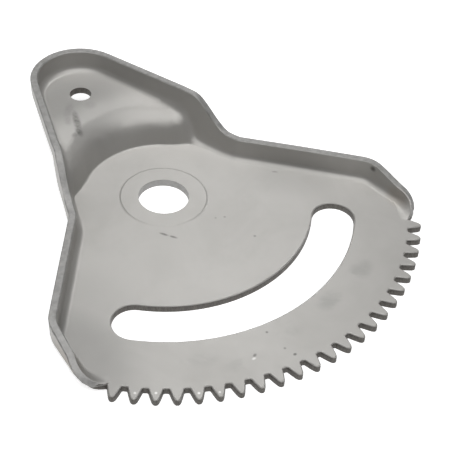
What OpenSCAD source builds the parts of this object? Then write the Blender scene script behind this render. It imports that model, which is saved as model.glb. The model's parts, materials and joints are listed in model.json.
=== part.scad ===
// Steering sector gear, stamped and drawn in one piece from flat sheet steel.
// Origin: pivot bore axis on the underside of the flat plate. +Z: up, the side the flange stands on.
// +Y: towards the lever arm. The row of teeth lies towards -Y.

/* [Teeth] */
// Module of the teeth, pitch diameter over tooth count
tooth_module = 2.54; // [1.8:0.01:3]
// Teeth that a whole wheel of this pitch circle would have
teeth_full = 86; // [76:1:96]
// Teeth cut on the sector
teeth_cut = 23; // [15:2:23]
// Pressure angle of the tooth flanks, degrees
pressure_angle = 20; // [14.5:0.5:25]
// Working height above the pitch circle, in modules
addendum = 1; // [0.8:0.05:1]
// Depth below the pitch circle, in modules
dedendum = 1.25; // [1:0.05:1.4]
// Backlash taken off each tooth along the pitch circle
backlash = 0.15; // [0:0.05:0.4]
// Radius at the foot of each tooth, in modules
root_round = 0.3; // [0.1:0.02:0.34]
// Radius at the corners of each tooth's tip, in modules
tip_round = 0.4; // [0.1:0.02:0.44]

/* [Sheet] */
// Thickness of the steel sheet
sheet = 3.2; // [2:0.1:4]
// Inside radius of the flange bend
bend_r = 3.2; // [2:0.1:4]
// Angle that the flange is turned up from flat, degrees
flange_angle = 88; // [80:1:89]
// Inside radius of the flange bend beside the step
corner_r = 5; // [3.2:0.1:6]
// Height of the flange rim above the plate at the shoulders
flange_h = 10.9; // [9:0.1:13]
// Height of the flange rim above the plate at the waist
waist_h = 10.1; // [8:0.1:12]
// Height of the arm's rim above the arm's floor at the tip
arm_flange_h = 9.9; // [7:0.1:12]
// Fall of the arm's rim from the tip to the top of its climb
arm_fall = 0.5; // [0:0.1:2.5]
// Flat lip left at the tooth ends, where the flange runs out
lip_w = 1.1; // [0.8:0.1:3]
// Distance from the end of the row of teeth over which the flange grows to its full height
run_out_len = 23.2; // [16:0.1:26]
// Distance from the end of the row of teeth over which the flange turns up to its full angle
turn_up_len = 10.3; // [8:0.1:16]
// Chamfer that breaks the two edges of the rim
edge_break = 0.4; // [0.2:0.05:0.8]

/* [Pivot] */
// Diameter of the pivot bore
bore_d = 22; // [16:0.1:26]
// Diameter of the coined pad round the bore
pad_d = 39; // [34:0.5:46]
// Height of the coined pad above the plate
pad_h = 0.4; // [0.2:0.05:0.8]
// Width of the slope at the edge of the pad
pad_slope = 1; // [0.3:0.1:3]

/* [Slot] */
// Radius of the slot's centre line about the pivot
slot_r = 73.8; // [70:0.1:78]
// Width of the slot
slot_w = 18.2; // [12:0.1:22]
// Angle between the centres of the slot's round ends, degrees
slot_sweep = 90; // [60:1:94]

/* [Arm] */
// Height of the arm's floor above the plate
arm_rise = 15.3; // [12:0.1:20]
// Distance from the pivot to the link hole
link_y = 64.4; // [60:0.1:70]
// Diameter of the link hole
link_d = 9.7; // [6:0.1:12]
// Radius of the arm's floor round the link hole
arm_tip_r = 15.5; // [12:0.1:17]
// Angle of each side of the arm to the centre line, degrees
arm_taper = 20.4; // [18:0.1:23]
// Radius of the foot of the step about the pivot
foot_r = 34.4; // [32:0.1:38]
// Distance from the pivot to the straight foot at each side of the arm
foot_y = 23.4; // [20:0.1:26]
// Inside radius at the foot of the step
foot_bend_r = 1.6; // [1:0.1:3]
// Outside radius where the middle of the step rolls over into the arm's floor
roll_r = 11; // [8:0.1:14]
// Outside radius where each end of the step rolls over into the arm's floor
roll_end_r = 5.5; // [5:0.1:8]
// Steepest angle of the middle of the step, degrees
step_angle = 66; // [50:1:72]
// Steepest angle of each end of the step, degrees
step_end_angle = 80; // [66:1:82]
// Reach of the round corner where each end of the step runs into the arm's wall
step_corner = 12; // [8:0.5:18]
// Distance from the pivot at which the rim starts to climb to the arm
climb_y = 6.1; // [3:0.1:12]
// Length along the arm over which the rim climbs
climb_len = 19.3; // [14:0.1:24]

/* [Plate outline] */
// Distance of the waist from the pivot, where the arm side meets the plate side
waist_y = 1; // [-3:0.1:3]
// Radius of the flange round the waist
waist_r = 13; // [11:1:30]
// Half width of the floor at the shoulders
shoulder_x = 78.2; // [75:0.1:80]
// Distance of the shoulders from the pivot, towards the teeth
shoulder_y = 43.8; // [41:0.1:48]
// Radius of the floor round the shoulders
shoulder_r = 7.5; // [5:0.5:16]
// Half width of the floor at the tooth ends
lobe_x = 80.4; // [79:0.1:83]
// Distance of the tooth ends from the pivot, towards the teeth
lobe_y = 64.6; // [62:0.1:67]
// Radius of the floor round the tooth ends
lobe_r = 6.5; // [3:0.5:8]

/* [Hidden] */
$fn = 96;
steel = [0.66, 0.65, 0.63];
eps = 0.01;

// Circles of the gear
pitch_r = tooth_module * teeth_full / 2;
root_r = pitch_r - dedendum * tooth_module;
tip_r = pitch_r + addendum * tooth_module;
base_r = pitch_r * cos(pressure_angle);
pitch_step = 360 / teeth_full;
sector_half = teeth_cut * pitch_step / 2;
flank_points = 3;
round_steps = 3;
root_bite = 0.03;
rim_band = 12;
rim_inset = 2;
band_over = 0.3;
skin_convexity = 8;

// Bend of the flange: its developed length stays the same where the flange runs out flat
function bend_len(r) = r * flange_angle * PI / 180;
function bend_rise(r) = r * (1 - cos(flange_angle));
bend_steps = 6;
arc_step = 9;

// Profile of the step from its foot as [distance, height, slope angle]
foot_steps = 3;
roll_steps = 5;
function slope_run(roll, slope) =
    foot_bend_r * sin(slope) + roll * sin(slope)
    + (arm_rise - (foot_bend_r + roll) * (1 - cos(slope))) / tan(slope);
function profile(roll, slope) = concat(
    [for (i = [0 : foot_steps])
        let (a = slope * i / foot_steps)
        [foot_bend_r * sin(a), foot_bend_r * (1 - cos(a)), a]],
    [for (i = [0 : roll_steps])
        let (a = slope * (1 - i / roll_steps))
        [slope_run(roll, slope) - roll * sin(a), arm_rise - roll * (1 - cos(a)), a]]
);
function top_line(step) = [for (p = step) [p[0], sheet + p[1]]];
function under_line(step) = [for (p = step) [p[0] + sheet * sin(p[2]), sheet + p[1] - sheet * cos(p[2])]];
seat_gap = 0.5;

function turn(a) = [cos(a), sin(a)];
function smooth(k) = let (c = min(max(k, 0), 1)) c * c * (3 - 2 * c);
function heading(a, b) = let (d = b - a) atan2(d[0], -d[1]);

// One station of the outline: [point on the bend line, angle of the outward normal, radius of the bend]
function spread(a, b, n, normal) = [for (i = [1 : n]) [a + (b - a) * i / (n + 1), normal, bend_r]];
function corner(p, a0, a1, r) =
    let (
        side = a1 > a0 ? 1 : -1,
        half = (a1 - a0) / 2,
        mid = (a0 + a1) / 2,
        centre = p + side * turn(mid) * r / cos(half),
        n = max(2, ceil(abs(a1 - a0) / arc_step))
    )
    [for (i = [0 : n])
        let (a = a0 + (a1 - a0) * i / n)
        [centre - side * turn(a) * r, a, bend_r]];

// Corner points of the floor's outline on the right side
tip_end = [0, link_y] + arm_tip_r * turn(arm_taper);
function arm_x(y) = tip_end[0] + (tip_end[1] - y) * tan(arm_taper);
plate_inset = arm_rise / tan(flange_angle);
waist = [arm_x(waist_y) - plate_inset / cos(arm_taper), waist_y];
shoulder = [shoulder_x, -shoulder_y];
lobe = [lobe_x, -lobe_y];
flat_len = bend_len(bend_r) + lip_w;
notch = (root_r - flat_len) * turn(sector_half - 90);
side_a = heading(waist, shoulder);
lobe_a = heading(shoulder, lobe);
end_a = heading(lobe, notch);

// Stations down the right side, from the arm tip to the middle of the row of teeth
waist_arc = corner(waist, arm_taper, side_a, waist_r);
shoulder_arc = corner(shoulder, side_a, lobe_a, shoulder_r);
lobe_arc = corner(lobe, lobe_a, end_a, lobe_r);

// The arm's wall stands in one plane, so its bend moves inwards where the floor drops to the plate
// and where the bend widens beside the step
end_run = slope_run(roll_end_r, step_end_angle);
neck_y = waist_arc[0][0][1];
function risen(y) = smooth((y - foot_y) / end_run);
function swell(y) = smooth((y - neck_y) / (foot_y - neck_y)) * (1 - smooth((y - foot_y) / (2 * end_run)));
function side_r(y) = bend_r + (corner_r - bend_r) * swell(y);
function inset(y) = plate_inset * (1 - risen(y)) + (side_r(y) - bend_r) * tan(flange_angle / 2);
arm_steps = 5;
drop_steps = 12;
climb_steps = 7;
drop_top = foot_y + 2 * end_run;
drop_foot = foot_y - foot_bend_r;
arm_ys = concat(
    [for (i = [1 : arm_steps]) tip_end[1] + (drop_top - tip_end[1]) * i / arm_steps],
    [for (i = [1 : drop_steps]) drop_top + (drop_foot - drop_top) * i / drop_steps],
    [for (i = [1 : climb_steps]) drop_foot + (neck_y - drop_foot) * i / (climb_steps + 1)]
);
arm_side = [for (y = arm_ys) [[arm_x(y), y] - inset(y) * turn(arm_taper), arm_taper, side_r(y)]];
tip_steps = 9;
plate_side_steps = 1;
lobe_side_steps = 7;
lobe_end_steps = 2;
tooth_arc_steps = 5;
right_side = concat(
    [for (i = [1 : tip_steps])
        let (a = 90 - (90 - arm_taper) * i / tip_steps)
        [[0, link_y] + arm_tip_r * turn(a), a, bend_r]],
    arm_side,
    waist_arc,
    spread(waist_arc[len(waist_arc) - 1][0], shoulder_arc[0][0], plate_side_steps, side_a),
    shoulder_arc,
    spread(shoulder_arc[len(shoulder_arc) - 1][0], lobe_arc[0][0], lobe_side_steps, lobe_a),
    lobe_arc,
    spread(lobe_arc[len(lobe_arc) - 1][0], notch, lobe_end_steps, end_a),
    [[notch, end_a, bend_r]],
    [for (i = [1 : tooth_arc_steps - 1])
        let (a = -90 + sector_half * (1 - i / tooth_arc_steps))
        [(root_r - rim_inset - flat_len) * turn(a), a, bend_r]]
);
tip_point = [[0, link_y + arm_tip_r], 90, bend_r];
tooth_point = [[0, rim_inset + flat_len - root_r], -90, bend_r];
side_count = len(right_side);
stations = concat(
    [tip_point],
    right_side,
    [tooth_point],
    [for (i = [side_count - 1 : -1 : 0])
        let (s = right_side[i])
        [[-s[0][0], s[0][1]], 180 - s[1], s[2]]]
);
count = len(stations);

// Height of the sheet along a ray from the pivot: the round foot and the straight foots meet in a cusp,
// and the foot turns in a round corner into the arm's wall
cusp_blend = 1.5;
side_angle = atan2(foot_y, arm_x(foot_y));
wall_off = arm_x(0) * cos(arm_taper) - plate_inset;
function blend_max(p, q, k) = let (h = max(k - abs(p - q), 0)) max(p, q) + h * h / (4 * k);
function past_foot(a, r) = -blend_max(foot_r - r, foot_y - r * sin(a), cusp_blend);
function past_wall(a, r) = min(r * cos(min(a, 180 - a) - arm_taper) - wall_off, 0);
function up_step(a, r) = a < 0 ? -tip_r : blend_max(past_foot(a, r), past_wall(a, r), step_corner);
ray_rounds = 16;
function ray_at(a, d, low, high, n) =
    n <= 0 ? high :
    let (mid = (low + high) / 2)
    up_step(a, mid) < d ? ray_at(a, d, mid, high, n - 1) : ray_at(a, d, low, mid, n - 1);
function step_at(a) =
    let (k = smooth(abs(90 - a) / (90 - side_angle)))
    profile(roll_r + (roll_end_r - roll_r) * k, step_angle + (step_end_angle - step_angle) * k);

// Distance of a station from the radial line at the end of the row of teeth
function past_teeth(p) = abs(p[0]) * cos(sector_half) + p[1] * sin(sector_half);

// Height of the rim: level with the arm, down the climb to the waist, then up to the shoulders
tip_y = link_y + arm_tip_r;
climb_top = climb_y + climb_len;
function share(k) = min(max(k, 0), 1);
function plate_rim(y) = waist_h + (flange_h - waist_h) * share((waist_y - y) / (waist_y + shoulder_y));
function arm_rim(y) = arm_rise + arm_flange_h - arm_fall * share((tip_y - y) / (tip_y - climb_top));
function rim_z(y) =
    sheet + plate_rim(y) + (arm_rim(y) - plate_rim(y)) * smooth((y - climb_y) / climb_len);

// Floor nodes of one side of the sheet, from the pivot outwards
function floor_nodes(s, line) =
    let (a = atan2(s[0][1], s[0][0]), reach = norm(s[0]) - seat_gap, top = up_step(a, reach))
    [for (p = line)
        let (r = p[0] < top ? ray_at(a, p[0], 0, reach, ray_rounds) : reach)
        [r * cos(a), r * sin(a), lookup(min(p[0], top), line)]];

// Flange nodes of one side of the sheet, bent up by angle bend over the developed length
function flange_path(bend, r, depth, k) =
    bend < eps ? [bend_len(r) * k, 0] :
    let (a = bend * k, turn_r = bend_len(r) / bend * 180 / PI + depth)
    [turn_r * sin(a), turn_r * (1 - cos(a))];
function place(s, z, xz) = [for (v = s[0] + xz[0] * turn(s[1])) v, z + xz[1]];

function section(s) =
    let (
        a = atan2(s[0][1], s[0][0]),
        step = step_at(a),
        top = lookup(up_step(a, norm(s[0])), top_line(step)),
        under = lookup(up_step(a, norm(s[0])), under_line(step)),
        bend = flange_angle * smooth(past_teeth(s[0]) / turn_up_len),
        elbow = flange_path(bend, s[2], 0, 1),
        full_w = (rim_z(s[0][1]) - top - bend_rise(s[2])) / sin(flange_angle),
        w = lip_w + (full_w - lip_w) * smooth(past_teeth(s[0]) / run_out_len),
        along = turn(bend),
        out = [sin(bend), -cos(bend)],
        under_nodes = floor_nodes(s, under_line(step))
    )
    concat(
        floor_nodes(s, top_line(step)),
        [for (k = [0 : bend_steps]) place(s, top, flange_path(bend, s[2], 0, k / bend_steps))],
        [place(s, top, elbow + (w - edge_break) * along),
         place(s, top, elbow + w * along + edge_break * out),
         place(s, top, elbow + w * along + (sheet - edge_break) * out),
         place(s, top, elbow + (w - edge_break) * along + sheet * out)],
        [for (k = [bend_steps : -1 : 0])
            place(s, under, flange_path(bend, s[2], sheet, k / bend_steps))],
        [for (i = [len(under_nodes) - 1 : -1 : 0]) under_nodes[i]]
    );

// The drawn sheet as one closed skin, lofted through the sections of all stations
module drawn_sheet() {
    sections = [for (s = stations) section(s)];
    ring = len(sections[0]);
    points = concat([for (c = sections) each c], [[0, 0, sheet], [0, 0, 0]]);
    top_centre = count * ring;
    under_centre = top_centre + 1;
    faces = concat(
        [for (i = [0 : count - 1], j = [0 : ring - 2])
            let (n = (i + 1) % count)
            each [[i * ring + j, i * ring + j + 1, n * ring + j + 1],
                  [i * ring + j, n * ring + j + 1, n * ring + j]]],
        [for (i = [0 : count - 1]) [top_centre, i * ring, ((i + 1) % count) * ring]],
        [for (i = [0 : count - 1])
            [under_centre, ((i + 1) % count) * ring + ring - 1, i * ring + ring - 1]]
    );
    polyhedron(points, faces, convexity = skin_convexity);
}

// Involute flank of a tooth that points along +X, from the root to the tip
function involute(a) = tan(a) * 180 / PI - a;
half_tooth = 90 / teeth_full - backlash / 2 / pitch_r * 180 / PI;
function flank_angle(r) =
    half_tooth + involute(pressure_angle) - involute(r > base_r ? acos(base_r / r) : 0);
root_fillet = root_round * tooth_module;
tip_fillet = tip_round * tooth_module;
foot_top = root_r - root_bite + root_fillet;
tip_foot = tip_r - tip_fillet;
function half_width(r) = r * sin(max(flank_angle(r), 0));
flank = concat(
    [for (i = [0 : round_steps])
        let (a = 90 * i / round_steps, r = foot_top - root_fillet * cos(a))
        r * turn(flank_angle(foot_top) + root_fillet * (1 - sin(a)) / r * 180 / PI)],
    [for (i = [1 : flank_points])
        let (r = foot_top + (tip_foot - foot_top) * i / (flank_points + 1))
        r * turn(flank_angle(r))],
    [for (i = [0 : round_steps])
        let (a = 90 * i / round_steps)
        [tip_foot + tip_fillet * sin(a), max(half_width(tip_foot) - tip_fillet * (1 - cos(a)), eps)]]
);

module tooth() {
    polygon(concat([[root_r - rim_inset, 0]], [for (p = flank) [p[0], -p[1]]],
        [for (i = [len(flank) - 1 : -1 : 0]) flank[i]]));
}

// Flat band that carries the row of teeth
module toothed_band() {
    linear_extrude(height = sheet) {
        intersection() {
            difference() {
                circle(r = root_r);
                circle(r = root_r - rim_band);
            }
            polygon([[0, 0], for (k = [-1 : 1]) 2 * tip_r * turn(k * (sector_half + band_over) - 90)]);
        }
        for (i = [0 : teeth_cut - 1])
            rotate(-90 + (i - (teeth_cut - 1) / 2) * pitch_step) tooth();
    }
}

// Curved slot with round ends, cut right through the plate
module slot_cut() {
    translate([0, 0, -sheet])
        linear_extrude(height = 3 * sheet) {
            intersection() {
                difference() {
                    circle(r = slot_r + slot_w / 2);
                    circle(r = slot_r - slot_w / 2);
                }
                polygon([[0, 0], for (k = [-1 : 0.5 : 1]) 2 * slot_r * turn(k * slot_sweep / 2 - 90)]);
            }
            for (k = [-1, 1])
                translate(slot_r * turn(k * slot_sweep / 2 - 90)) circle(d = slot_w);
        }
}

module sector_gear() {
    color(steel)
        difference() {
            union() {
                drawn_sheet();
                toothed_band();
                translate([0, 0, sheet / 2]) cylinder(d = pad_d, h = sheet / 2);
                translate([0, 0, sheet]) cylinder(d1 = pad_d, d2 = pad_d - 2 * pad_slope, h = pad_h);
            }
            translate([0, 0, -sheet]) cylinder(d = bore_d, h = 3 * sheet);
            translate([0, link_y, arm_rise - sheet]) cylinder(d = link_d, h = 3 * sheet);
            slot_cut();
        }
}

sector_gear();
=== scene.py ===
"""Looks of the stamped sector gear: one drawn sheet of bare satin steel on a pale studio floor."""
import json
import math

import bpy
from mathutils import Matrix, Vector
from mathutils.bvhtree import BVHTree


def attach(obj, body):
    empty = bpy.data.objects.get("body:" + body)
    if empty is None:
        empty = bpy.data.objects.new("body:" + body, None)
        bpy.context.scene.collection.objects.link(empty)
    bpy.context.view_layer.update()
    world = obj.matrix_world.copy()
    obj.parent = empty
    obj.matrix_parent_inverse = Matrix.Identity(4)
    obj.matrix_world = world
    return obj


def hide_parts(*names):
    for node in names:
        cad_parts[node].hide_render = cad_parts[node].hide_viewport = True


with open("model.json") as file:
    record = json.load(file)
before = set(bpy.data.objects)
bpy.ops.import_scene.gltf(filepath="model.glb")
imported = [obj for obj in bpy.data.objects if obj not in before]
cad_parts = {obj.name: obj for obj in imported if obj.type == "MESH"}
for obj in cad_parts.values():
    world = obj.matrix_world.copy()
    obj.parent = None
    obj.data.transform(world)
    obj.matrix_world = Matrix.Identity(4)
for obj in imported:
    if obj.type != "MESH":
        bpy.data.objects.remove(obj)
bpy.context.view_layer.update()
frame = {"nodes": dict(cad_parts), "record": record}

bl_info = {
    "name": "Sector Gear Stamping",
    "version": (1, 0, 0),
    "blender": (4, 5, 0),
    "location": "View3D > Sidebar > Sector Gear",
    "description": "Dresses a stamped steering sector gear in bare satin steel and sets its studio",
    "category": "Object",
}

NODE = "sector_gear"
PIECE = "sector_gear_stamping"
FLOOR = "studio_floor"
PLAIN, CUT, RIM = range(3)
MM = 0.001
TINY = 0.00001

# The sheet, its holes, the teeth and the pad as the solid has them, in metres
SHEET = 0.0032
PLATE_TOP = 0.0033
BORE_RADIUS = 0.0125
HOLE_REACH = 0.007
BAND_RADIUS = 0.058
TIP_RADIUS = 0.11176
TOOTH_STEP = math.radians(360 / 86)
PAD_SLOPE = 0.0175
PAD_REACH = 0.0215
PAD_FLOOR = 0.0034

# The step round the pivot and the raised arm behind it, in metres
CLIMB_Y = 0.012
STEP_FOOT = 0.0345
STEP_HEAD = 0.0515
STEP_FLOOR = 0.0045
CORNER = (0.0325, 0.021)
ARM_RISE = 0.0153
ARM_UNDER = 0.014
ARM_TOP = 0.019
ARM_WALL = 0.0411
ARM_TAPER = math.radians(20.4)
WALL_LEAN = 0.035
WALL_MARGIN = MM
WALL_FADE = 3 * MM

# Reach of the sag in the arm's floor, and the millimetres at which the floor is cut so that it can bend
SAG_START = 0.0344
SAG_END = 0.0592
SAG_FADE = 0.006
SAG_CUTS_Y = range(32, 62, 3)
SAG_CUTS_X = range(-24, 25, 4)

# Share of the die roll's depth at which the cut walls are divided, and the share past which none is rolled
ROLL_CUTS = (1.0, 0.5, 0.15)
ROLL_LIMIT = 1.1

# What tells walls, flats and bends apart: the height of a normal, a change in it, or a count of corners
STEEP = 0.35
LEVEL = 0.99
UPPER = 0.1
RIM_ROUND = (0.3, 0.95)
PAD_TURN = 0.03
FLAT_CORNERS = 12
SMOOTH_ANGLE = math.radians(40)
SMOOTH_FACTOR = 0.5

# Fineness of the patterns in the steel, in waves to the metre, and how far the tears are drawn out
CLOUD_SCALE = 26.0
DRIFT_SCALE = 85.0
MOTTLE_SCALE = 240.0
SCUFF_SCALE = 420.0
TORN_SCALE = 480.0
PIT_SCALE = 1500.0
TEAR_SCALE = 1900.0
GRAIN_SCALE = 2600.0
TEAR_STRETCH = (1.0, 1.0, 0.25)
PATCH_CORE = 0.25

# Where the studio is brightest, how far down its light reaches, and the camera's film
SKY_AXIS = (-0.05, -0.08, 0.995)
SKY_EDGE = 0.2
WHITE = (1.0, 1.0, 1.0)
SENSOR_WIDTH = 36.0
CLIP_START = 0.01

# Marks on the steel, painted shade and painted highlights among them, as rows of centre, half lengths, turn
# and strength, in millimetres and degrees
SMEARS = (
    ((-11.9, 49.4, 18.5), (2.3, 9.0, 9.0), -22.5, 0.85),
    ((-14.4, 43.8, 18.5), (2.3, 3.4, 9.0), -10.0, 0.9),
    ((-17.0, 43.0, 18.5), (3.0, 1.6, 9.0), 20.0, 0.4),
    ((-11.6, 56.6, 18.5), (3.0, 8.6, 9.0), -40.0, 0.22),
    ((-15.0, 51.8, 18.5), (2.4, 4.6, 9.0), -30.0, 0.26),
    ((-1.0, 55.2, 18.5), (4.2, 3.6, 9.0), 0.0, 0.18),
    ((-13.7, -19.0, 3.2), (0.9, 2.9, 2.0), 30.0, 0.85),
    ((-11.4, -22.6, 3.2), (0.9, 2.4, 2.0), 32.0, 0.85),
)
CLOUDS = (
    ((-5.5, -90.8, 3.2), (10.0, 5.0, 2.0), -4.0, 0.30),
    ((18.2, -87.9, 3.2), (9.0, 5.5, 2.0), 12.0, 0.42),
    ((39.8, -82.4, 3.2), (11.0, 6.0, 2.0), 26.0, 0.42),
    ((-43.3, -82.5, 3.2), (9.0, 5.0, 2.0), -28.0, 0.25),
    ((-32.5, -93.3, 3.2), (8.0, 5.0, 2.0), -20.0, 0.25),
)
# Painted shade: broad darker patches where the light falls off, on the plate's lower left, its right side and
# the arm's floor
PAINTED_SHADE = (
    ((-78.0, -52.0, 3.2), (26.0, 40.0, 8.0), 0.0, 0.6),
    ((-66.0, -34.0, 3.2), (30.0, 30.0, 8.0), 0.0, 0.2),
    ((-4.0, 59.0, 17.5), (38.0, 32.0, 16.0), 0.0, 0.5),
    ((62.0, -18.0, 3.2), (34.0, 24.0, 8.0), -20.0, 0.3),
)
BLOOMS = (
    ((-84.5, -56.0, 8.0), (7.0, 13.0, 8.0), 0.0, 0.45),
    ((84.0, -60.0, 5.0), (7.0, 9.0, 7.0), 0.0, 0.35),
)
SPECKS = (
    ((-13.5, -86.4, 3.2), (0.8, 0.8, 1.0), 0.0, 0.6),
    ((-13.1, -96.8, 3.2), (0.8, 0.8, 1.0), 0.0, 0.5),
    ((-11.9, -101.4, 3.2), (1.1, 0.9, 1.0), 0.0, 0.75),
    ((-24.8, -92.8, 3.2), (1.4, 0.9, 1.0), 20.0, 0.6),
    ((13.9, -25.1, 3.2), (0.8, 0.8, 1.0), 0.0, 0.4),
    ((10.3, -23.4, 3.2), (0.7, 0.7, 1.0), 0.0, 0.35),
    ((50.7, -14.6, 3.2), (0.8, 2.0, 1.0), 50.0, 0.4),
    ((17.0, -41.7, 3.2), (0.9, 0.9, 1.0), 0.0, 0.5),
    ((82.2, -44.3, 11.0), (2.2, 2.2, 2.0), 0.0, 0.85),
)
# Painted highlights: near-white spots on four teeth, the tooth band and the flange's corner, where the light
# glints
PAINTED_GLINTS = (
    ((-72.4, -81.2, 3.2), (0.8, 0.8, 1.0), 0.0, 0.7),
    ((-66.1, -85.7, 3.2), (0.8, 0.8, 1.0), 0.0, 0.8),
    ((-53.3, -95.0, 3.2), (0.8, 0.8, 1.0), 0.0, 0.9),
    ((-46.7, -99.1, 3.2), (0.7, 0.7, 1.0), 0.0, 0.7),
    ((-26.1, -93.9, 3.2), (1.3, 0.8, 1.0), 0.0, 0.6),
    ((85.5, -44.1, 13.6), (1.4, 1.4, 1.6), 0.0, 0.8),
)


class StampingSettings(bpy.types.PropertyGroup):
    """Edges and smoothing of the stamping"""

    weld_gap: bpy.props.FloatProperty(
        name="Weld Gap",
        description="Distance under which the sheet's loose corners are welded",
        default=0.000004, min=0.0, unit="LENGTH", subtype="DISTANCE", precision=6)
    flat_angle: bpy.props.FloatProperty(
        name="Flat Angle",
        description="Angle under which neighbouring facets count as one flat face",
        default=math.radians(0.4), min=0.0, subtype="ANGLE")
    die_roll: bpy.props.FloatProperty(
        name="Die Roll",
        description="Depth of the round that the punch leaves on the upper edge of each cut",
        default=0.0009, min=0.0, unit="LENGTH", subtype="DISTANCE", precision=5)
    roll_width: bpy.props.FloatProperty(
        name="Roll Width",
        description="Width of that round on the sheet's upper face",
        default=0.0006, min=0.0, unit="LENGTH", subtype="DISTANCE", precision=5)
    tip_round: bpy.props.FloatProperty(
        name="Tip Round", description="Radius to which the tips of the teeth are rounded",
        default=0.0013, min=0.0001, unit="LENGTH", subtype="DISTANCE", precision=5)
    corner_reach: bpy.props.FloatProperty(
        name="Corner Reach",
        description="Reach of the softly drawn corner where each end of the step meets the arm's wall",
        default=0.014, min=0.0, unit="LENGTH", subtype="DISTANCE", precision=4)
    corner_pull: bpy.props.FloatProperty(
        name="Corner Pull", description="How far that corner is drawn out towards the arm's wall",
        default=0.45, min=0.0, max=0.8, subtype="FACTOR")
    step_sag: bpy.props.FloatProperty(
        name="Step Sag", description="How far the arm's floor falls before it rolls over the step",
        default=0.005, min=0.0, unit="LENGTH", subtype="DISTANCE", precision=5)
    step_bulge: bpy.props.FloatProperty(
        name="Step Bulge", description="How far the face of the step stands out at half its height",
        default=0.0012, min=0.0, unit="LENGTH", subtype="DISTANCE", precision=5)
    roll_soft: bpy.props.FloatProperty(
        name="Roll Softness", description="Share of the smoothing that the rest of the step gets",
        default=0.5, min=0.0, max=1.0, subtype="FACTOR")
    corner_passes: bpy.props.IntProperty(
        name="Corner Passes", description="Smoothing passes over that corner", default=10, min=0, max=100)
    cut_depth: bpy.props.FloatProperty(
        name="Cut Depth",
        description="Depth of steel behind a face over which the face counts as a cut edge of the sheet",
        default=0.0056, min=0.0, unit="LENGTH", subtype="DISTANCE", precision=5)


class SteelSettings(bpy.types.PropertyGroup):
    """Bare steel as it leaves the press, with its painted shade and painted highlights"""

    steel: bpy.props.FloatVectorProperty(
        name="Steel", description="Colour of the rolled sheet",
        default=(0.48, 0.47, 0.45), size=3, min=0.0, max=1.0, subtype="COLOR")
    steel_shade: bpy.props.FloatVectorProperty(
        name="Steel Shade", description="Colour of the sheet's duller clouds",
        default=(0.44, 0.43, 0.41), size=3, min=0.0, max=1.0, subtype="COLOR")
    sheared: bpy.props.FloatVectorProperty(
        name="Sheared Edge", description="Colour of the rough edges that the die cut",
        default=(0.11, 0.103, 0.094), size=3, min=0.0, max=1.0, subtype="COLOR")
    sheared_light: bpy.props.FloatVectorProperty(
        name="Sheared Edge Light", description="Colour of the brighter tears in the cut edges",
        default=(0.18, 0.17, 0.156), size=3, min=0.0, max=1.0, subtype="COLOR")
    rim: bpy.props.FloatVectorProperty(
        name="Rim", description="Colour of the sheet's cut edge along the flange",
        default=(0.34, 0.335, 0.325), size=3, min=0.0, max=1.0, subtype="COLOR")
    rim_light: bpy.props.FloatVectorProperty(
        name="Rim Light", description="Colour of the brighter scuffs on the rim",
        default=(0.46, 0.455, 0.445), size=3, min=0.0, max=1.0, subtype="COLOR")
    metal: bpy.props.FloatProperty(
        name="Metal",
        description="Share of the surface that mirrors like bare metal; the rest is matt bloom",
        default=0.45, min=0.0, max=1.0, subtype="FACTOR")
    oil: bpy.props.FloatVectorProperty(
        name="Oil Stain", description="Colour of dried oil and die smears",
        default=(0.10, 0.097, 0.09), size=3, min=0.0, max=1.0, subtype="COLOR")
    # Tint of the real clouds on the tooth band, also used as painted shade on the plate's lower left, its
    # right side and the arm's floor
    cloud_and_shade: bpy.props.FloatVectorProperty(
        name="Cloud", description="Colour of the faint clouds on the tooth band",
        default=(0.28, 0.275, 0.265), size=3, min=0.0, max=1.0, subtype="COLOR")
    # Painted highlight: near-white colour for the small spots that catch the light
    painted_glint: bpy.props.FloatVectorProperty(
        name="Glint", description="Colour of the small bare spots that catch the light",
        default=(0.92, 0.91, 0.89), size=3, min=0.0, max=1.0, subtype="COLOR")
    rust: bpy.props.FloatVectorProperty(
        name="Rust Bloom", description="Colour of the faint brown bloom on the drawn corners",
        default=(0.33, 0.28, 0.225), size=3, min=0.0, max=1.0, subtype="COLOR")
    rough: bpy.props.FloatProperty(
        name="Roughness", description="Mean roughness of the rolled face",
        default=0.45, min=0.0, max=1.0, subtype="FACTOR")
    rough_spread: bpy.props.FloatProperty(
        name="Roughness Spread", description="How far the roughness wanders over the sheet",
        default=0.08, min=0.0, max=1.0, subtype="FACTOR")


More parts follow.
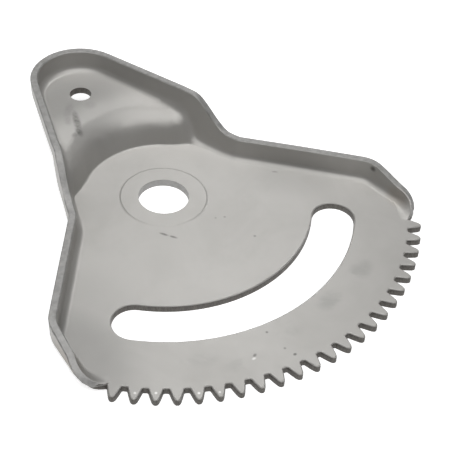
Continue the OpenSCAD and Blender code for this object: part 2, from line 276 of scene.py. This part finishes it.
class StudioSettings(bpy.types.PropertyGroup):
    """Floor, light and camera"""

    floor_size: bpy.props.FloatProperty(
        name="Floor Size", description="Side of the square floor",
        default=14.0, unit="LENGTH", subtype="DISTANCE")
    floor: bpy.props.FloatVectorProperty(
        name="Floor", description="Colour of the pale floor",
        default=(0.86, 0.86, 0.86), size=3, min=0.0, max=1.0, subtype="COLOR")
    floor_glow: bpy.props.FloatProperty(
        name="Floor Glow", description="White that the floor shows on top of its own colour",
        default=0.6, min=0.0, max=1.0, subtype="FACTOR")
    sky: bpy.props.FloatProperty(
        name="Sky", description="Brightness of the studio overhead", default=0.31, min=0.0)
    horizon: bpy.props.FloatProperty(
        name="Horizon", description="Brightness of the studio low on all sides", default=0.0, min=0.0)
    key_power: bpy.props.FloatProperty(
        name="Key Power", description="Power of the large soft lamp over the part",
        default=4.75, min=0.0, unit="POWER", subtype="POWER")
    key_size: bpy.props.FloatProperty(
        name="Key Size", description="Side of the large soft lamp",
        default=0.9, unit="LENGTH", subtype="DISTANCE")
    key_place: bpy.props.FloatVectorProperty(
        name="Key Place", description="Where the large soft lamp hangs",
        default=(-0.10, -0.18, 0.78), size=3, unit="LENGTH", subtype="TRANSLATION")
    sheen_power: bpy.props.FloatProperty(
        name="Sheen Power", description="Power of the small lamp that the middle of the plate mirrors",
        default=1.05, min=0.0, unit="POWER", subtype="POWER")
    sheen_size: bpy.props.FloatProperty(
        name="Sheen Size", description="Side of the small lamp",
        default=0.28, unit="LENGTH", subtype="DISTANCE")
    sheen_place: bpy.props.FloatVectorProperty(
        name="Sheen Place", description="Where the small lamp hangs",
        default=(0.35, 0.37, 0.60), size=3, unit="LENGTH", subtype="TRANSLATION")
    camera_place: bpy.props.FloatVectorProperty(
        name="Camera Place", description="Where the camera stands",
        default=(-0.237403, -0.312573, 0.354716), size=3, unit="LENGTH", subtype="TRANSLATION", precision=5)
    camera_turn: bpy.props.FloatVectorProperty(
        name="Camera Turn", description="How the camera is turned",
        default=(0.817825, -0.055977, -0.668258), size=3, unit="ROTATION", subtype="EULER", precision=5)
    camera_lens: bpy.props.FloatProperty(
        name="Camera Lens", description="Focal length on a 36 mm sensor",
        default=96.7108, min=1.0, unit="CAMERA")


def deselect_all():
    """Leaves edit mode and clears the selection."""
    if bpy.context.object and bpy.context.object.mode != "OBJECT":
        bpy.ops.object.mode_set(mode="OBJECT")
    bpy.ops.object.select_all(action="DESELECT")


def make_active(piece):
    """Selects one object alone and makes it active."""
    deselect_all()
    piece.select_set(True)
    bpy.context.view_layer.objects.active = piece


def cut_faces(piece, wanted, place, across):
    """Divides some of the piece's faces along a plane, and no others."""
    make_active(piece)
    bpy.ops.object.mode_set(mode="EDIT")
    bpy.ops.mesh.select_mode(type="FACE")
    bpy.ops.mesh.select_all(action="DESELECT")
    bpy.ops.object.mode_set(mode="OBJECT")
    for face in piece.data.polygons:
        face.select = wanted(face)
    bpy.ops.object.mode_set(mode="EDIT")
    bpy.ops.mesh.bisect(plane_co=place, plane_no=across)
    bpy.ops.object.mode_set(mode="OBJECT")


def clamp(share):
    """Keeps a share between none and all."""
    return min(max(share, 0.0), 1.0)


def wall_gap(x, y, z):
    """Room between a point and the inner face of the arm's wall, below zero past that face."""
    wall = ARM_WALL + (z - ARM_TOP) * WALL_LEAN
    return wall - abs(x) * math.cos(ARM_TAPER) - y * math.sin(ARM_TAPER)


class NodeSheet:
    """Short words for laying out the nodes of one material or sky."""

    def __init__(self, tree):
        self.tree = tree
        self.tree.nodes.clear()

    def add(self, kind, **values):
        node = self.tree.nodes.new(kind)
        for name, value in values.items():
            setattr(node, name, value)
        return node

    def feed(self, socket, value):
        if isinstance(value, bpy.types.NodeSocket):
            self.tree.links.new(value, socket)
        else:
            socket.default_value = value

    def feed_all(self, node, **values):
        """Feeds sockets by name, with an underscore for each space."""
        for name, value in values.items():
            self.feed(node.inputs[name.replace("_", " ")], value)

    def spot(self):
        """Place of each point on the piece."""
        return self.add("ShaderNodeTexCoord").outputs["Object"]

    def math(self, operation, a, b):
        node = self.add("ShaderNodeMath", operation=operation)
        self.feed(node.inputs[0], a)
        self.feed(node.inputs[1], b)
        return node.outputs[0]

    def ramp(self, value, low, high, to_low=0.0, to_high=1.0):
        """Carries a value softly from one range to another."""
        node = self.add("ShaderNodeMapRange", interpolation_type="SMOOTHSTEP", clamp=True)
        self.feed_all(node, Value=value, From_Min=low, From_Max=high, To_Min=to_low, To_Max=to_high)
        return node.outputs["Result"]

    def noise(self, vector, scale, detail, rough, distortion=0.0):
        node = self.add("ShaderNodeTexNoise")
        self.feed_all(node, Vector=vector, Scale=scale, Detail=detail, Roughness=rough,
                      Distortion=distortion)
        return node.outputs["Fac"]

    def mix(self, share, a, b):
        """Blends two colours; the colour sockets of this node are known by number."""
        node = self.add("ShaderNodeMix", data_type="RGBA", clamp_factor=True)
        self.feed(node.inputs["Factor"], share)
        self.feed(node.inputs[6], a)
        self.feed(node.inputs[7], b)
        return node.outputs[2]

    def patch(self, vector, centre, reach, turn):
        """One at the centre of an oval patch, falling to none at its edge."""
        place = self.add("ShaderNodeMapping", vector_type="TEXTURE")
        self.feed_all(place, Vector=vector, Location=centre, Rotation=(0.0, 0.0, turn), Scale=reach)
        size = self.add("ShaderNodeVectorMath", operation="LENGTH")
        self.feed(size.inputs[0], place.outputs["Vector"])
        return self.ramp(size.outputs["Value"], 1.0, PATCH_CORE)

    def marks(self, vector, rows):
        """The strongest of some oval patches, each a row of centre, half lengths, turn and strength."""
        strongest = 0.0
        for centre, reach, turn, strength in rows:
            patch = self.patch(vector, [c * MM for c in centre], [r * MM for r in reach], math.radians(turn))
            strongest = self.math("MAXIMUM", self.math("MULTIPLY", patch, strength), strongest)
        return strongest

    def finish_steel(self, colour, metal, rough, relief, strength, depth):
        """Ends the sheet in a steel surface with a fine relief."""
        bump = self.add("ShaderNodeBump")
        self.feed_all(bump, Strength=strength, Distance=depth, Height=relief)
        shader = self.add("ShaderNodeBsdfPrincipled")
        self.feed_all(shader, Base_Color=colour, Metallic=metal, Roughness=rough,
                      Normal=bump.outputs["Normal"])
        out = self.add("ShaderNodeOutputMaterial")
        self.feed(out.inputs["Surface"], shader.outputs["BSDF"])


def new_material(name):
    """A new material and its empty sheet of nodes."""
    material = bpy.data.materials.new(name)
    material.use_nodes = True
    return material, NodeSheet(material.node_tree)


def opaque(colour):
    """A colour with nothing shining through."""
    return (colour[0], colour[1], colour[2], 1.0)


def sheared_edge(look):
    """Rough, dull wall that the die leaves where it cuts through the sheet."""
    material, sheet = new_material("sheared_edge_steel")
    tear = sheet.add("ShaderNodeMapping", vector_type="POINT")
    sheet.feed_all(tear, Vector=sheet.spot(), Scale=TEAR_STRETCH)
    tears = sheet.noise(tear.outputs["Vector"], TEAR_SCALE, detail=3.0, rough=0.6)
    colour = sheet.mix(sheet.ramp(tears, 0.3, 0.7), opaque(look.sheared), opaque(look.sheared_light))
    sheet.finish_steel(colour, look.metal, rough=0.62, relief=tears, strength=0.5, depth=0.00008)
    return material


def flange_rim(look):
    """Cut edge of the sheet along the flange, tumbled to an even grey."""
    material, sheet = new_material("flange_rim_steel")
    spot = sheet.spot()
    scuffs = sheet.noise(spot, SCUFF_SCALE, detail=4.0, rough=0.6)
    pits = sheet.noise(spot, PIT_SCALE, detail=3.0, rough=0.6)
    colour = sheet.mix(sheet.ramp(scuffs, 0.32, 0.7), opaque(look.rim), opaque(look.rim_light))
    rough = sheet.ramp(scuffs, 0.3, 0.7, to_low=0.5, to_high=0.64)
    sheet.finish_steel(colour, look.metal, rough, relief=pits, strength=0.4, depth=0.00006)
    return material


def bare_steel(look):
    """Rolled, stamped and tumbled sheet steel with its clouds, smears, specks and rust, and with painted
    shade and painted highlights.
    """
    material, sheet = new_material("bare_satin_steel")
    spot = sheet.spot()
    clouds = sheet.noise(spot, CLOUD_SCALE, detail=4.0, rough=0.6, distortion=0.6)
    drift = sheet.noise(spot, DRIFT_SCALE, detail=4.0, rough=0.6, distortion=0.8)
    torn = sheet.noise(spot, TORN_SCALE, detail=3.0, rough=0.6, distortion=0.3)
    mottle = sheet.noise(spot, MOTTLE_SCALE, detail=3.0, rough=0.55)
    grain = sheet.noise(spot, GRAIN_SCALE, detail=2.0, rough=0.6)

    drift = sheet.ramp(drift, 0.34, 0.62)
    torn = sheet.ramp(torn, 0.3, 0.7, to_low=0.55)
    drifts = sheet.math("MULTIPLY", sheet.marks(spot, CLOUDS), drift)
    smears = sheet.math("MULTIPLY", sheet.marks(spot, SMEARS), torn)
    colour = sheet.mix(sheet.ramp(clouds, 0.35, 0.72), opaque(look.steel), opaque(look.steel_shade))
    # The first tint is painted shade on the plate's lower left, its right side and the arm's floor, and the
    # last paints highlights; clouds, rust, smears and specks are the steel's own.
    for share, tint in (
            (sheet.marks(spot, PAINTED_SHADE), look.cloud_and_shade),
            (drifts, look.cloud_and_shade),
            (sheet.marks(spot, BLOOMS), look.rust),
            (smears, look.oil),
            (sheet.marks(spot, SPECKS), look.oil),
            (sheet.marks(spot, PAINTED_GLINTS), look.painted_glint)):
        colour = sheet.mix(share, colour, opaque(tint))

    spread = sheet.math("MULTIPLY", mottle, look.rough_spread)
    rough = sheet.math("ADD", look.rough - look.rough_spread / 2, spread)
    sheet.finish_steel(colour, look.metal, rough, relief=grain, strength=0.25, depth=0.00004)
    return material


class GEAR_OT_stamping(bpy.types.Operator):
    """Make the dressed stamping from the frame's solid, with rolled cut edges and a softly drawn step"""

    bl_idname = "sector_gear.stamping"
    bl_label = "Make Stamping"

    def execute(self, context):
        size = context.scene.stamping
        look = context.scene.bare_steel
        node = frame["nodes"][NODE]
        piece = bpy.data.objects.new(PIECE, node.data.copy())
        context.scene.collection.objects.link(piece)
        make_active(piece)
        bpy.ops.object.mode_set(mode="EDIT")
        bpy.ops.mesh.select_all(action="SELECT")
        bpy.ops.mesh.remove_doubles(threshold=size.weld_gap)
        bpy.ops.mesh.customdata_custom_splitnormals_clear()
        bpy.ops.mesh.dissolve_limited(angle_limit=size.flat_angle)
        bpy.ops.object.mode_set(mode="OBJECT")

        piece.data.materials.clear()
        for steel in (bare_steel(look), sheared_edge(look), flange_rim(look)):
            piece.data.materials.append(steel)
        self.mark_cuts(piece.data, size)
        self.settle_step(piece, size)
        self.soften_corners(piece, size)
        self.round_tips(piece.data, size)
        self.roll_edges(piece, size)
        self.mark_pad(piece.data)
        bpy.ops.object.shade_smooth_by_angle(angle=SMOOTH_ANGLE)
        soft = piece.modifiers.new("flat_faces_first", "WEIGHTED_NORMAL")
        soft.keep_sharp = True
        bpy.ops.object.modifier_apply(modifier=soft.name)

        if not piece.data.polygons:
            raise RuntimeError("the stamping came out empty")
        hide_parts(NODE)
        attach(piece, "root")
        return {"FINISHED"}

    @staticmethod
    def mark_cuts(mesh, size):
        """Gives the die's cuts their own steel: walls of teeth, slot and holes, and the flange's rim."""
        tree = BVHTree.FromPolygons([v.co for v in mesh.vertices], [f.vertices for f in mesh.polygons])
        link = next(m for m in frame["record"]["mounts"] if m["name"] == "link_hole")
        for face in mesh.polygons:
            start = Vector(face.center) - face.normal * TINY
            depth = tree.ray_cast(start, -face.normal)[3]
            from_pivot = math.hypot(face.center.x, face.center.y)
            deep = depth is not None and depth > size.cut_depth
            banded = from_pivot > BAND_RADIUS and face.center.z < PLATE_TOP
            holed = deep and math.dist(face.center, link["pos_m"]) < HOLE_REACH
            if abs(face.normal.z) < STEEP and (banded or holed):
                face.material_index = CUT
            elif deep and (from_pivot < BORE_RADIUS or face.center.z > ARM_TOP or face.center.y < CLIMB_Y):
                face.material_index = RIM
        tops = {key for face in mesh.polygons if face.material_index == RIM for key in face.edge_keys}
        for face in mesh.polygons:
            rounded = RIM_ROUND[0] < face.normal.z < RIM_ROUND[1]
            if face.material_index == PLAIN and rounded and tops.intersection(face.edge_keys):
                face.material_index = RIM

    @staticmethod
    def settle_step(piece, size):
        """Lets the arm's floor fall softly into the step, with both faces of the sheet alike."""
        cuts = [((0.0, y * MM, 0.0), (0.0, 1.0, 0.0)) for y in SAG_CUTS_Y]
        cuts += [((x * MM, 0.0, 0.0), (1.0, 0.0, 0.0)) for x in SAG_CUTS_X]
        for place, across in cuts:
            cut_faces(piece, lambda face: abs(face.normal.z) > LEVEL and face.center.z > ARM_UNDER,
                      place, across)
        for point in piece.data.vertices:
            x, y, z = point.co
            out = math.hypot(x, y)
            if y < CLIMB_Y or not STEP_FOOT < out < SAG_END:
                continue
            upper = point.normal.z > UPPER
            level = clamp((z - (SHEET if upper else 0.0)) / ARM_RISE)
            near = clamp((SAG_END - out) / (SAG_END - SAG_START))
            fade = clamp(1.0 - (z - ARM_RISE - SHEET) / SAG_FADE)
            gap = wall_gap(x, y, z)
            inside = clamp((gap + WALL_MARGIN) / WALL_FADE)
            point.co.z -= size.step_sag * near * near * level * fade * inside
            free = clamp(gap / SAG_FADE)
            push = size.step_bulge * 4.0 * level * (1.0 - level) * free / out if upper else 0.0
            point.co.x -= x * push
            point.co.y -= y * push

    @staticmethod
    def soften_corners(piece, size):
        """Draws the step's two corners out to the arm's wall and smooths its roll, but not the rim."""
        mesh = piece.data
        rim = {i for face in mesh.polygons if face.material_index != PLAIN for i in face.vertices}
        flats = {i for face in mesh.polygons if len(face.vertices) > FLAT_CORNERS for i in face.vertices}
        crisp = rim | flats
        out_x, out_y = math.cos(ARM_TAPER), math.sin(ARM_TAPER)
        corners = piece.vertex_groups.new(name="step_corners")
        for point in mesh.vertices:
            x, y, z = point.co
            apart = math.hypot(abs(x) - CORNER[0], y - CORNER[1]) / size.corner_reach
            rolled = STEP_FOOT < math.hypot(x, y) < STEP_HEAD and y > CLIMB_Y and z > STEP_FLOOR
            if rolled and point.normal.z > UPPER and point.index not in crisp:
                corners.add([point.index], size.roll_soft, "REPLACE")
            if apart < 1.0 and point.index not in rim:
                share = (1.0 - apart * apart) ** 2
                corners.add([point.index], max(share, size.roll_soft if rolled else 0.0), "REPLACE")
                pull = max(wall_gap(x, y, z), 0.0) * share * size.corner_pull
                point.co.x += math.copysign(out_x, x) * pull
                point.co.y += out_y * pull
        soft = piece.modifiers.new("soft_corners", "SMOOTH")
        soft.vertex_group = corners.name
        soft.factor = SMOOTH_FACTOR
        soft.iterations = size.corner_passes
        bpy.ops.object.modifier_apply(modifier=soft.name)
        piece.vertex_groups.clear()

    @staticmethod
    def round_tips(mesh, size):
        """Takes the corners off the teeth, so that each one ends in a round tip."""
        foot = TIP_RADIUS - size.tip_round
        for point in mesh.vertices:
            out = math.hypot(point.co.x, point.co.y)
            turn = math.atan2(point.co.x, -point.co.y)
            aside = out * (turn - TOOTH_STEP * round(turn / TOOTH_STEP))
            if out > foot and abs(aside) < size.tip_round:
                shrink = min((foot + math.sqrt(size.tip_round ** 2 - aside ** 2)) / out, 1.0)
                point.co.x *= shrink
                point.co.y *= shrink

    @staticmethod
    def roll_edges(piece, size):
        """Draws the upper edges of teeth and slot down and in, as the punch does when it cuts."""
        for share in ROLL_CUTS:
            height = SHEET - size.die_roll * share
            cut_faces(piece, lambda face: face.material_index == CUT, (0.0, 0.0, height), (0.0, 0.0, 1.0))
        mesh = piece.data
        outward = {}
        for face in mesh.polygons:
            if face.material_index == CUT:
                for i in face.vertices:
                    outward[i] = outward.get(i, Vector()) + Vector((face.normal.x, face.normal.y, 0.0))
                if SHEET - size.die_roll / 2 < face.center.z < PLATE_TOP:
                    face.material_index = PLAIN
        for i, away in outward.items():
            point = mesh.vertices[i]
            share = 1.0 - (SHEET - point.co.z) / size.die_roll
            if 0.0 < share < ROLL_LIMIT:
                inward = 1.0 - math.sqrt(max(1.0 - share * share, 0.0))
                point.co -= away.normalized() * size.roll_width * inward

    @staticmethod
    def mark_pad(mesh):
        """Keeps the edges of the coined pad crisp."""
        sides = {}
        for face in mesh.polygons:
            for key in face.edge_keys:
                sides.setdefault(key, []).append(face.normal.z)
        for edge in mesh.edges:
            ends = [mesh.vertices[i].co for i in edge.vertices]
            if all(PAD_SLOPE < math.hypot(co.x, co.y) < PAD_REACH and co.z > PAD_FLOOR for co in ends):
                tilt = sides[edge.key]
                edge.use_edge_sharp = max(tilt) - min(tilt) > PAD_TURN


class GEAR_OT_studio(bpy.types.Operator):
    """Lay the pale floor, hang the soft light and stand the camera"""

    bl_idname = "sector_gear.studio"
    bl_label = "Set Studio"

    def execute(self, context):
        look = context.scene.studio
        scene = context.scene
        scene.view_settings.view_transform = "Standard"

        deselect_all()
        bpy.ops.mesh.primitive_plane_add(size=look.floor_size, location=(0.0, 0.0, 0.0))
        floor = context.object
        floor.name = FLOOR
        floor.data.materials.append(self.floor_paint(look))

        self.set_sky(scene, look)
        self.hang_lamp(context, "soft_key", look.key_place, look.key_size, look.key_power)
        self.hang_lamp(context, "sheen", look.sheen_place, look.sheen_size, look.sheen_power, shadow=False)

        deselect_all()
        bpy.ops.object.camera_add(location=look.camera_place, rotation=look.camera_turn)
        camera = context.object
        camera.name = "photo_view"
        camera.data.sensor_width = SENSOR_WIDTH
        camera.data.lens = look.camera_lens
        camera.data.clip_start = CLIP_START
        scene.camera = camera
        return {"FINISHED"}

    @staticmethod
    def hang_lamp(context, name, place, size, power, shadow=True):
        """Hangs a square lamp that looks at the pivot; without shadow, nothing dims its reflection either."""
        deselect_all()
        bpy.ops.object.light_add(type="AREA", location=place)
        lamp = context.object
        lamp.name = name
        lamp.data.shape = "SQUARE"
        lamp.data.size = size
        lamp.data.energy = power
        lamp.data.use_shadow = shadow
        lamp.data.cycles.use_multiple_importance_sampling = shadow
        lamp.rotation_euler = (-lamp.location).to_track_quat("-Z", "Y").to_euler()

    @staticmethod
    def floor_paint(look):
        """Pale matt floor that looks white, keeps the part's shadow and lends it no more light."""
        material, sheet = new_material("pale_floor")
        rays = sheet.add("ShaderNodeLightPath").outputs
        mirrored = sheet.math("MAXIMUM", rays["Is Glossy Ray"], rays["Is Transmission Ray"])
        seen = sheet.math("MAXIMUM", rays["Is Camera Ray"], mirrored)
        paint = sheet.add("ShaderNodeBsdfDiffuse")
        sheet.feed(paint.inputs["Color"], opaque(look.floor))
        glow = sheet.add("ShaderNodeEmission")
        sheet.feed(glow.inputs["Strength"], sheet.math("MULTIPLY", seen, look.floor_glow))
        both = sheet.add("ShaderNodeAddShader")
        sheet.feed(both.inputs[0], paint.outputs[0])
        sheet.feed(both.inputs[1], glow.outputs[0])
        out = sheet.add("ShaderNodeOutputMaterial")
        sheet.feed(out.inputs["Surface"], both.outputs[0])
        return material

    @staticmethod
    def set_sky(scene, look):
        """Even studio light that is brightest overhead."""
        world = bpy.data.worlds.new("studio")
        scene.world = world
        world.use_nodes = True
        sheet = NodeSheet(world.node_tree)
        away = sheet.add("ShaderNodeVectorMath", operation="DOT_PRODUCT")
        sheet.feed(away.inputs[0], sheet.add("ShaderNodeTexCoord").outputs["Generated"])
        sheet.feed(away.inputs[1], SKY_AXIS)
        level = sheet.ramp(away.outputs["Value"], SKY_EDGE, 1.0, look.horizon, look.sky)
        sky = sheet.add("ShaderNodeBackground")
        sheet.feed_all(sky, Color=opaque(WHITE), Strength=level)
        out = sheet.add("ShaderNodeOutputWorld")
        sheet.feed(out.inputs["Surface"], sky.outputs[0])


class GEAR_PT_panel(bpy.types.Panel):
    """Sidebar list of the stamping's steps and sizes"""

    bl_idname = "GEAR_PT_panel"
    bl_label = "Sector Gear"
    bl_space_type = "VIEW_3D"
    bl_region_type = "UI"
    bl_category = "Sector Gear"

    def draw(self, context):
        layout = self.layout
        for step, group in ((GEAR_OT_stamping, "stamping"), (None, "bare_steel"), (GEAR_OT_studio, "studio")):
            box = layout.box()
            if step:
                box.operator(step.bl_idname)
            values = getattr(context.scene, group)
            for name in values.bl_rna.properties.keys():
                if name not in ("rna_type", "name"):
                    box.prop(values, name)


CLASSES = (StampingSettings, SteelSettings, StudioSettings, GEAR_OT_stamping, GEAR_OT_studio, GEAR_PT_panel)


def register():
    for cls in CLASSES:
        bpy.utils.register_class(cls)
    bpy.types.Scene.stamping = bpy.props.PointerProperty(type=StampingSettings)
    bpy.types.Scene.bare_steel = bpy.props.PointerProperty(type=SteelSettings)
    bpy.types.Scene.studio = bpy.props.PointerProperty(type=StudioSettings)


def unregister():
    del bpy.types.Scene.studio
    del bpy.types.Scene.bare_steel
    del bpy.types.Scene.stamping
    for cls in reversed(CLASSES):
        bpy.utils.unregister_class(cls)


def main():
    register()
    bpy.ops.sector_gear.stamping()
    bpy.ops.sector_gear.studio()
    bpy.context.view_layer.update()


if __name__ == "__main__":
    main()
